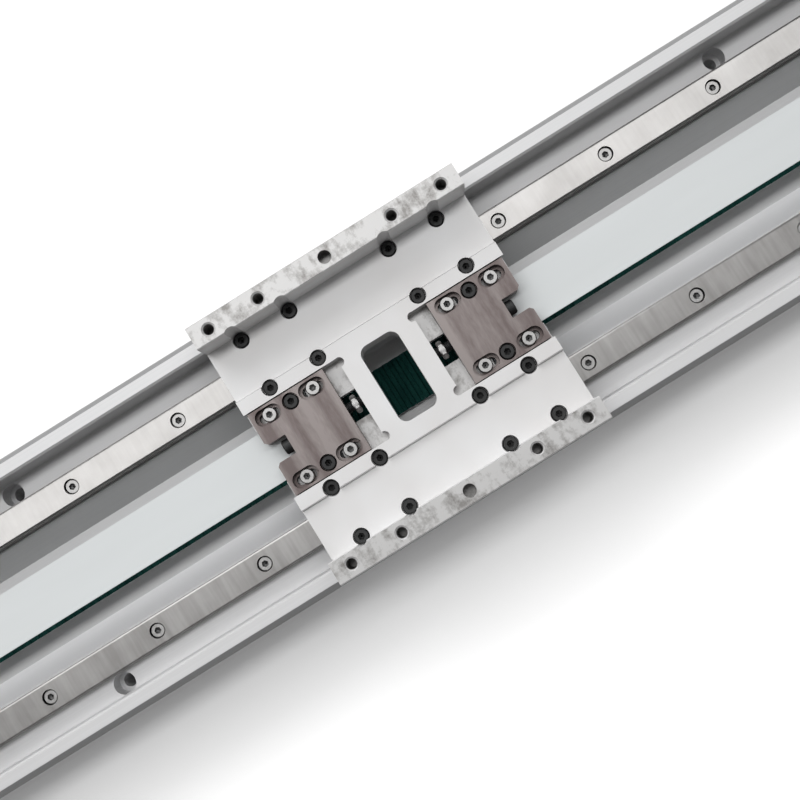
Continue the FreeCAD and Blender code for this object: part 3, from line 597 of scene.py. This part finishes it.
def makeScrews():
    m4 = screwSizes["m4"]
    m5 = screwSizes["m5"]
    placeScrews("railScrews", "rail_screws", m4, "base", "bright_screw")
    placeScrews("plateScrews", "plate_screws", m4, "carriage", "black_screw")
    loose = placeScrews("clampScrews", "clamp_screws", m4, "carriage", "bright_screw")
    loose.data.transform(Matrix.Translation((0, 0, screwShape["lift"])))  # the clamps slide under their heads
    for end, facing in (("drive", "+x"), ("idler", "-x")):
        placeScrews("beltBolts_" + end, "belt_bolts_" + end, m4, "belt_clamp_at_" + end, "black_screw")
        placeScrews("housingScrews_" + end, end + "_housing_screws", m5, "base", "black_screw", facing)
        placeScrews("coverScrews_" + end, end + "_cover_screws", m4, "base", "black_screw", facing)


# two small screws hold each bearing block's end seal
sealScrews = {"across": 0.0122, "below": 0.0040, "length": 0.004}


def makeSealScrews():
    places = []
    for end in ("drive", "idler"):
        for side in ("left", "right"):
            low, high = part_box("block_seals_%s_%s" % (end, side))
            middle = (low[1] + high[1]) / 2
            for x, turn in ((low[0], -math.pi / 2), (high[0], math.pi / 2)):
                for y in (middle - sealScrews["across"], middle + sealScrews["across"]):
                    place = Matrix.Translation((x, y, high[2] - sealScrews["below"]))
                    places.append(place @ Matrix.Rotation(turn, 4, "Y"))
    model = capScrew("sealScrewModel", screwSizes["seal"], sealScrews["length"], "blackScrew")
    attach(scatter("sealScrews", model, places), "carriage", "black_screw")


makeScrews()
makeSealScrews()
print("cap screws placed")


# thread ridges, the foot and crest as shares of the pitch
threadShape = {"foot": 0.46, "crest": 1 / 16}


def threadRidge(name, root, crest, pitch, turns, steps):
    # a helical ridge about Z that starts at z = 0
    mesh = bpy.data.meshes.new(name)
    foot = pitch * threadShape["foot"]
    land = pitch * threadShape["crest"]
    mesh.from_pydata([(root, 0, -foot), (crest, 0, -land), (crest, 0, land), (root, 0, foot)],
                     [(0, 1), (1, 2), (2, 3)], [])
    ridge = bpy.data.objects.new(name, mesh)
    bpy.context.scene.collection.objects.link(ridge)
    winding = ridge.modifiers.new("winding", "SCREW")
    winding.axis = "Z"
    winding.angle = 2 * math.pi
    winding.screw_offset = pitch
    winding.iterations = turns
    winding.steps = steps
    winding.render_steps = steps
    winding.use_merge_vertices = True
    applyModifiers(ridge)
    editOn(ridge)
    bpy.ops.mesh.select_all(action="SELECT")
    bpy.ops.mesh.normals_make_consistent(inside=crest < root)
    bpy.ops.object.mode_set(mode="OBJECT")
    return ridge


# softened metal parts: widths of their broken edges in metres, angles in degrees
edgeWidths = {"base": 0.0003, "rail": 0.00015, "plate": 0.00025, "clamp": 0.0004, "jaw": 0.0002,
              "housing": 0.0005, "cover": 0.0008, "block": 0.0004, "cap": 0.0006, "stop": 0.0009}
softening = {"flatAngle": 1, "edgeAngle": 32, "smoothAngle": 35, "segments": 2}


def weighOuterEdges(piece, angle):
    # only outer edges are broken, inner corners stay sharp so that moving parts keep their room
    mesh = bmesh.from_edit_mesh(piece.data)
    weight = mesh.edges.layers.float.new("bevel_weight_edge")
    for edge in mesh.edges:
        if len(edge.link_faces) == 2 and edge.is_convex and edge.calc_face_angle() > math.radians(angle):
            edge[weight] = 1.0
    bmesh.update_edit_mesh(piece.data)


def softened(name, node, width, segments=softening["segments"], angle=softening["edgeAngle"],
             shape=None, outerOnly=False):
    # a copy of a CAD part with its loose triangles joined and its edges broken
    piece = named(name, copyOf(nodes[node]))
    settle(piece)
    editOn(piece)
    bpy.ops.mesh.select_all(action="SELECT")
    bpy.ops.mesh.remove_doubles(threshold=tolerance["weld"])
    bpy.ops.mesh.dissolve_limited(angle_limit=math.radians(softening["flatAngle"]))
    if shape:
        shape()
    if outerOnly:
        weighOuterEdges(piece, angle)
    bpy.ops.object.mode_set(mode="OBJECT")
    bevel = piece.modifiers.new("bevel", "BEVEL")
    bevel.width = edgeWidths[width]
    bevel.segments = segments
    bevel.limit_method = "WEIGHT" if outerOnly else "ANGLE"
    bevel.angle_limit = math.radians(angle)
    bevel.miter_outer = "MITER_ARC"
    applyModifiers(piece)
    low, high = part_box(node)
    for vert in piece.data.vertices:
        vert.co = [min(max(c, a), b) for c, a, b in zip(vert.co, low, high)]  # never past the CAD part's box
    smooth(piece, softening["smoothAngle"])
    flats = piece.modifiers.new("flats", "WEIGHTED_NORMAL")  # wide faces stay flat up to their broken edges
    flats.keep_sharp = True
    flats.weight = 100
    return applyModifiers(piece)


# tapped and dowel holes in the carriage's lips: countersunk mouths, threads, and walls painted dark, painted
# shade in the deep holes
lipHoles = {"inset": 0.0058, "fromEnds": (0.009, 0.035), "radius": 0.0025, "mouth": 0.0008, "depth": 0.014,
            "threadDepth": 0.00032, "pitch": 0.001, "steps": 24, "dowelRadius": 0.003, "dowelMouth": 0.0002}


def tappedPlaces():
    half = (plateHigh[0] - plateLow[0]) / 2
    reach = plateHigh[1] - lipHoles["inset"]
    along = [a * (half - end) for end in lipHoles["fromEnds"] for a in (-1, 1)]
    return [(carriageX + x, y) for x in along for y in (-reach, reach)]


def dowelPlaces():
    reach = plateHigh[1] - lipHoles["inset"]
    return [(carriageX, -reach), (carriageX, reach)]


def nearAny(point, places, low, high):
    return any(low < math.hypot(point.x - x, point.y - y) < high for x, y in places)


def onMouth(point, places, radius):
    level = abs(point.z - lipTopZ) < tolerance["level"]
    return level and nearAny(point, places, radius - tolerance["ring"], radius + tolerance["ring"])


def sinkMouths():
    piece = bpy.context.object
    bpy.ops.mesh.select_mode(type="EDGE")
    for places, radius, mouth in ((tappedPlaces(), lipHoles["radius"], lipHoles["mouth"]),
                                  (dowelPlaces(), lipHoles["dowelRadius"], lipHoles["dowelMouth"])):
        bpy.ops.mesh.select_all(action="DESELECT")
        mesh = bmesh.from_edit_mesh(piece.data)
        for edge in mesh.edges:
            if all(onMouth(vert.co, places, radius) for vert in edge.verts):
                edge.select_set(True)
        bmesh.update_edit_mesh(piece.data)
        bpy.ops.mesh.bevel(offset=mouth, segments=1, affect="EDGES")


def paintHoleShade(plate):
    plate.data.materials.append(looks["shadedThreadWall"])
    places = tappedPlaces() + dowelPlaces()
    low = lipTopZ - lipHoles["depth"] - tolerance["ring"]
    high = lipTopZ - lipHoles["mouth"] - tolerance["level"]
    # the faces inside the holes take the dark finish, painted shade
    for face in plate.data.polygons:
        inHole = nearAny(face.center, places, -1, lipHoles["dowelRadius"] + tolerance["ring"])
        if low < face.center.z < high and inHole:
            face.material_index = 1


def lipThreads():
    root = lipHoles["radius"]
    pitch = lipHoles["pitch"]
    turns = int((lipHoles["depth"] - lipHoles["mouth"]) / pitch) - 1
    crest = root - lipHoles["threadDepth"]
    model = threadRidge("lipThreadModel", root, crest, pitch, turns, lipHoles["steps"])
    low = lipTopZ - lipHoles["depth"] + pitch / 2
    threads = scatter("lipThreads", model, [Matrix.Translation((x, y, low)) for x, y in tappedPlaces()])
    # the threads take the dark finish too, painted shade
    finish(smooth(threads), "carriage", "carriage_aluminium", look="shadedThreadWall")


# outline corners that move a little before the edges are broken, in the part's own section
sectionMoves = {"wallStep": (0.0650, 0.0500), "wallSlope": (0.06665, 0.05275), "railNeck": (0.0071, 0.0011),
                "railEdge": 0.00032}


def slopeWalls():
    # the step along the outside of each wall is a slope
    piece = bpy.context.object
    mesh = bmesh.from_edit_mesh(piece.data)
    stepY, stepZ = sectionMoves["wallStep"]
    slopeY, slopeZ = sectionMoves["wallSlope"]
    for vert in mesh.verts:
        offY = abs(abs(vert.co.y) - stepY)
        offZ = abs(vert.co.z - stepZ)
        if max(offY, offZ) < tolerance["corner"]:
            vert.co.y = math.copysign(slopeY, vert.co.y)
            vert.co.z = slopeZ
    bmesh.update_edit_mesh(piece.data)


def flattenRailEdges():
    # the chamfers along a rail's top are flatter, so that they catch the light
    piece = bpy.context.object
    mesh = bmesh.from_edit_mesh(piece.data)
    middle = (railLow[1] + railHigh[1]) / 2
    halfHead, drop = sectionMoves["railNeck"]
    for vert in mesh.verts:
        offY = abs(abs(abs(vert.co.y) - middle) - halfHead)
        offZ = abs(vert.co.z - (railTopZ - drop))
        if max(offY, offZ) < tolerance["corner"]:
            vert.co.z = railTopZ - sectionMoves["railEdge"]
    bmesh.update_edit_mesh(piece.data)


def soften(name, node, width, body, slot, **settings):
    return finish(softened(name, node, width, **settings), body, slot, node)


def makeSoftened():
    soften("baseProfile", "base_extrusion", "base", "base", "anodised_profile", shape=slopeWalls)
    for side in ("left", "right"):
        soften("rail_" + side + "_fine", "rail_" + side, "rail", "base", "rail_steel",
               angle=20, shape=flattenRailEdges)
    paintHoleShade(soften("carriagePlate", "carriage_plate", "plate", "carriage", "carriage_aluminium",
                    shape=sinkMouths))
    for end in ("drive", "idler"):
        clamp = "belt_clamp_at_" + end
        soften("beltClamp_" + end, "belt_clamp_" + end, "clamp", clamp, "clamp_aluminium", outerOnly=True)
        soften("clampJaw_" + end, "clamp_jaw_" + end, "jaw", clamp, "jaw_aluminium")
        soften("housing_" + end, end + "_housing", "housing", "base", "housing_aluminium")
        soften("endCover_" + end, end + "_end_cover", "cover", "base", "housing_aluminium")
        for side in ("left", "right"):
            place = end + "_" + side
            soften("stop_" + place + "_round", "stop_" + place, "stop", "base", "stop_rubber",
                   segments=3, angle=40)
            soften("blockBody_" + place, "block_body_" + place, "block", "carriage", "block_steel")
            soften("blockCaps_" + place, "block_caps_" + place, "cap", "carriage", "block_plastic")


makeSoftened()
lipThreads()
print("metal edges broken, lip holes threaded")


# toothed belt, one pitch modelled and repeated, then laid round the two pulleys
beltShape = {"pitch": 0.005, "thickness": 0.0015, "toothHeight": 0.0012, "toothRoot": 0.0032,
             "toothTip": 0.0021, "landShare": 0.41, "endShare": 0.49, "fabricTop": 0.0001, "teethRound": 20,
             "carriageReach": 0.0700, "endReach": 0.0315, "heldReach": 0.0684, "freeReach": 0.0705,
             "tongue": 0.0080, "tongueInset": 0.00003}


def beltStrip(name, count, first):
    # a flat strip with its land at z = 0, its back above and its teeth below, first tooth at x = first
    pitch = beltShape["pitch"]
    root = beltShape["toothRoot"] / 2
    land = pitch * beltShape["landShare"]
    deselectAll()
    bpy.ops.mesh.primitive_cube_add(size=1, location=(0, 0, beltShape["thickness"] / 2),
                                    scale=(pitch, beltHigh[1] - beltLow[1], beltShape["thickness"]))
    strip = settle(named(name))
    editOn(strip)
    for x in (-land, -root, -root / 3, root / 3, root, land):
        bpy.ops.mesh.select_all(action="SELECT")
        bpy.ops.mesh.bisect(plane_co=(x, 0, 0), plane_no=(1, 0, 0))
    bpy.ops.mesh.select_mode(type="FACE")
    pickFaces(strip, lambda face: face.normal.z < -square and abs(face.calc_center_median().x) < root)
    bpy.ops.mesh.extrude_region_move(TRANSFORM_OT_translate={"value": (0, 0, -beltShape["toothHeight"])})
    bpy.ops.transform.resize(value=(beltShape["toothTip"] / beltShape["toothRoot"], 1, 1),
                             center_override=(0, 0, 0))
    pickFaces(strip, lambda face: abs(face.normal.x) > square
              and abs(face.calc_center_median().x) > pitch * beltShape["endShare"])
    bpy.ops.mesh.delete(type="FACE")
    bpy.ops.object.mode_set(mode="OBJECT")
    strip.data.transform(Matrix.Translation((first, 0, 0)))
    repeat = strip.modifiers.new("teeth", "ARRAY")
    repeat.count = count
    repeat.use_relative_offset = False
    repeat.use_constant_offset = True
    repeat.constant_offset_displace = (pitch, 0, 0)
    repeat.use_merge_vertices = True
    repeat.merge_threshold = tolerance["weld"]
    applyModifiers(strip)
    strip.data.materials.append(looks["belt"])
    strip.data.materials.append(looks["fabric"])
    for face in strip.data.polygons:
        face.material_index = int(face.center.z < beltShape["fabricTop"])  # fabric on the toothed side
    return strip


def closeStrip(strip):
    editOn(strip)
    bpy.ops.mesh.select_mode(type="EDGE")
    bpy.ops.mesh.select_all(action="DESELECT")
    bpy.ops.mesh.select_non_manifold(extend=False)
    bpy.ops.mesh.edge_face_add()
    bpy.ops.mesh.select_all(action="SELECT")
    bpy.ops.mesh.normals_make_consistent(inside=False)
    bpy.ops.object.mode_set(mode="OBJECT")
    return smooth(strip, angle=20)


def cutStrip(strip, x, keep):
    # keeps the strip's part on the plane's keep side, +1 or -1 along X
    editOn(strip)
    bpy.ops.mesh.select_all(action="SELECT")
    bpy.ops.mesh.bisect(plane_co=(x, 0, 0), plane_no=(keep, 0, 0), clear_inner=True, use_fill=True)
    bpy.ops.object.mode_set(mode="OBJECT")


def addTongue(strip, x):
    # a thin plain tongue closes the gap that opens when the clamp draws the belt's end in
    editOn(strip)
    pickFaces(strip, lambda face: abs(face.normal.x) > square
              and abs(face.calc_center_median().x - x) < tolerance["level"])
    bpy.ops.mesh.inset(thickness=beltShape["tongueInset"])
    bpy.ops.mesh.extrude_region_move(TRANSFORM_OT_translate={"value": (-beltShape["tongue"], 0, 0)})
    bpy.ops.object.mode_set(mode="OBJECT")
    for face in strip.data.polygons:
        if face.center.x < x + tolerance["level"]:
            face.material_index = 0


def upperBelt(end):
    # the straight run between a pulley and the carriage, made with its pulley at +X, and its clamped end
    side = 1 if end == "drive" else -1
    pitch = beltShape["pitch"]
    middle = side * carriageX
    stop = middle + beltShape["endReach"]
    held = middle + beltShape["heldReach"]
    lands = math.floor((pulleyX - middle - beltShape["freeReach"]) / pitch - 0.5)
    free = pulleyX - (lands + 0.5) * pitch  # the free run starts between two teeth, clear of the clamp's jaw
    count = math.ceil((pulleyX - stop) / pitch)
    landZ = beltBackZ - beltShape["thickness"]
    strips = []
    for name in ("beltUpper", "beltEnd"):
        strip = beltStrip(name + end.capitalize(), count, pulleyX - count * pitch)
        if name == "beltUpper":
            cutStrip(strip, free, 1)
            addTongue(strip, free)
        else:
            cutStrip(strip, stop, 1)
            cutStrip(strip, held, -1)
        strip.data.transform(Matrix.Translation((0, 0, landZ)))
        if side < 0:
            strip.data.transform(Matrix.Rotation(math.pi, 4, "Z"))
        strips.append(closeStrip(strip))
    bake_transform(strips[0])
    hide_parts("toothed_belt")
    attach(strips[1], "belt_clamp_at_" + end, "belt_polyurethane", "toothed_belt")


def layBelt(place):
    # turns a place along the strip into a place on the loop, from the driven pulley's top round below
    wrap = beltShape["teethRound"] * beltShape["pitch"] / 2
    run = 2 * pulleyX
    along = place.x
    radius = beltBackZ - axleZ - beltShape["thickness"] + place.z
    if along < 0:
        return Vector((pulleyX + along, place.y, axleZ + radius))
    if along < wrap:
        turn = math.pi / 2 - along / wrap * math.pi
        return Vector((pulleyX + radius * math.cos(turn), place.y, axleZ + radius * math.sin(turn)))
    if along < wrap + run:
        return Vector((pulleyX - (along - wrap), place.y, axleZ - radius))
    if along < 2 * wrap + run:
        turn = -math.pi / 2 - (along - wrap - run) / wrap * math.pi
        return Vector((-pulleyX + radius * math.cos(turn), place.y, axleZ + radius * math.sin(turn)))
    return Vector((-pulleyX + along - 2 * wrap - run, place.y, axleZ + radius))


def lowerBelt():
    count = beltShape["teethRound"] + round(2 * pulleyX / beltShape["pitch"]) + 1
    strip = beltStrip("beltLower", count, 0)
    for vert in strip.data.vertices:
        vert.co = layBelt(vert.co)
    attach(closeStrip(strip), "base", "belt_polyurethane", "toothed_belt")


upperBelt("drive")
upperBelt("idler")
lowerBelt()
print("belt laid")


# tension screws with their threads and lock nuts
tensionShape = {"pitch": 0.0008, "depth": 0.00042, "sink": 0.00003, "threaded": 0.022, "steps": 28,
                "nutSides": 48, "nutFlats": 0.008, "nutChamfer": 0.0005, "nutFace": 0.985}


def tensionScrew(end):
    node = "tension_screw_" + end
    size = dict(screwSizes["tension"])
    low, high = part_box(node)
    length = high[0] - low[0] - size["height"]
    crest = size["shank"]
    size["shank"] = crest - tensionShape["depth"]
    core = capScrew(node + "Core", size, length, "blackScrew")
    turns = round(tensionShape["threaded"] / tensionShape["pitch"])
    ridge = threadRidge(node + "Thread", size["shank"] - tensionShape["sink"], crest, tensionShape["pitch"],
                        turns, tensionShape["steps"])
    ridge.data.transform(Matrix.Translation((0, 0, screwShape["tip"] - length)))
    ridge.data.materials.append(looks["blackScrew"])
    screw = join("tensionScrew_" + end, [core, ridge])
    side = 1 if end == "drive" else -1
    seatX = high[0] - size["height"] if side > 0 else low[0] + size["height"]
    seat = Vector((seatX, (low[1] + high[1]) / 2, (low[2] + high[2]) / 2))
    screw.data.transform(Matrix.Translation(seat) @ Matrix.Rotation(side * math.pi / 2, 4, "Y"))
    attach(smooth(screw), "belt_clamp_at_" + end, "black_screw", node)


def nutReach(point, halfThick):
    # the end faces are round, the body is hexagonal
    reach = hexagonReach(tensionShape["nutFlats"], point)
    if abs(point.z) > halfThick - tolerance["weld"]:
        reach = min(reach, tensionShape["nutFlats"] / 2 * tensionShape["nutFace"])
    return reach


def lockNut(end):
    node = "lock_nut_" + end
    low, high = [Vector(c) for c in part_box(node)]
    thick = high.x - low.x
    bore = screwSizes["tension"]["shank"]
    deselectAll()
    bpy.ops.mesh.primitive_cylinder_add(vertices=tensionShape["nutSides"], depth=thick,
                                        radius=tensionShape["nutFlats"] / math.sqrt(3))
    nut = settle(named("lockNut_" + end))
    editOn(nut)
    for z in (thick / 2 - tensionShape["nutChamfer"], tensionShape["nutChamfer"] - thick / 2):
        bpy.ops.mesh.select_all(action="SELECT")
        bpy.ops.mesh.bisect(plane_co=(0, 0, z), plane_no=(0, 0, 1))
    bpy.ops.mesh.select_all(action="SELECT")
    setReach(nut, lambda co: nutReach(co, thick / 2))
    bpy.ops.mesh.select_mode(type="FACE")
    pickFaces(nut, lambda face: abs(face.normal.z) > square)
    bpy.ops.mesh.inset(thickness=tensionShape["nutFlats"] / 2 * tensionShape["nutFace"] - bore)
    setReach(nut, lambda co: bore)
    bpy.ops.mesh.bridge_edge_loops()
    bpy.ops.object.mode_set(mode="OBJECT")
    nut.data.transform(Matrix.Translation((low + high) / 2) @ Matrix.Rotation(math.pi / 2, 4, "Y"))
    finish(smooth(nut), "belt_clamp_at_" + end, "bright_screw", node)


for end in ("drive", "idler"):
    tensionScrew(end)
    lockNut(end)
print("tension screws and lock nuts made")


# stage, lamps and camera
stageSettings = {"floorSize": 6.0, "floorColor": 0.84, "floorRough": 0.9, "glow": (0.10, 0.70),
                 "glowReach": 0.09, "skyLight": (0.15, 0.64), "skyTurn": (-0.3, 0.6), "lampAim": (0, 0, 0.05)}
topSettings = {"place": (-0.05, 0.38, 2.0), "size": (2.6, 0.36), "power": 13.5}
sideSettings = {"place": (-0.35, 1.45, 1.25), "size": (1.6, 1.0), "power": 14.0}
cameraSettings = {"place": (-0.01903, -0.05275, 0.64649), "turn": (3.3271, 2.7130, -31.7909),
                  "fieldOfView": 34.837}


def addFloor():
    # paper that glows for the camera alone, and more away from the base
    deselectAll()
    bpy.ops.mesh.primitive_plane_add(size=stageSettings["floorSize"])
    floor = named("floor")
    look = Look("floorPaper", (stageSettings["floorColor"],) * 3, stageSettings["floorRough"])
    look.set("Specular IOR Level", 0.0)
    look.set("Emission Color", (1, 1, 1))
    squares = []
    for letter, half in (("X", cadBox[1][0]), ("Y", baseHigh[1])):
        beyond = look.math("MAXIMUM", look.math("SUBTRACT", look.fromMiddle(letter), half))
        squares.append(look.product(beyond, beyond))
    away = look.math("SQRT", look.math("ADD", *squares))
    glow = look.remap(away, 0, stageSettings["glowReach"], *stageSettings["glow"])
    look.set("Emission Strength", look.product(look.cameraRay(), glow))
    floor.data.materials.append(look.material)


def addSky():
    # lit from +Y, and white for the camera
    world = bpy.data.worlds.new("studio")
    bpy.context.scene.world = world
    world.use_nodes = True
    sky = Graph(world.node_tree, "Generated")
    light = sky.remap(sky.axis("Y"), *stageSettings["skyTurn"], *stageSettings["skyLight"],
                      interpolation_type="SMOOTHSTEP")
    backdrop = sky.tree.nodes["Background"]
    sky.put(backdrop.inputs["Color"], (1, 1, 1))
    sky.put(backdrop.inputs["Strength"], sky.math("MAXIMUM", light, sky.cameraRay()))


def addLamp(name, settings):
    data = bpy.data.lights.new(name, "AREA")
    data.shape = "RECTANGLE"
    data.size, data.size_y = settings["size"]
    data.energy = settings["power"]
    lamp = bpy.data.objects.new(name, data)
    bpy.context.scene.collection.objects.link(lamp)
    lamp.location = settings["place"]
    aim = (Vector(stageSettings["lampAim"]) - Vector(settings["place"])).normalized()
    side = aim.cross(Vector((1, 0, 0))).normalized()  # the long side of the lamp lies along X
    across = side.cross(-aim).normalized()
    lamp.rotation_euler = Matrix((across, side, -aim)).transposed().to_euler()


def addCamera():
    data = bpy.data.cameras.new("camera")
    data.sensor_fit = "HORIZONTAL"
    data.angle = math.radians(cameraSettings["fieldOfView"])
    camera = bpy.data.objects.new("camera", data)
    bpy.context.scene.collection.objects.link(camera)
    camera.location = cameraSettings["place"]
    camera.rotation_euler = [math.radians(a) for a in cameraSettings["turn"]]
    bpy.context.scene.camera = camera


addFloor()
addSky()
addLamp("topLamp", topSettings)
addLamp("sideLamp", sideSettings)
addCamera()
bpy.context.scene.view_settings.view_transform = "Standard"
print("stage, lamps and camera ready")
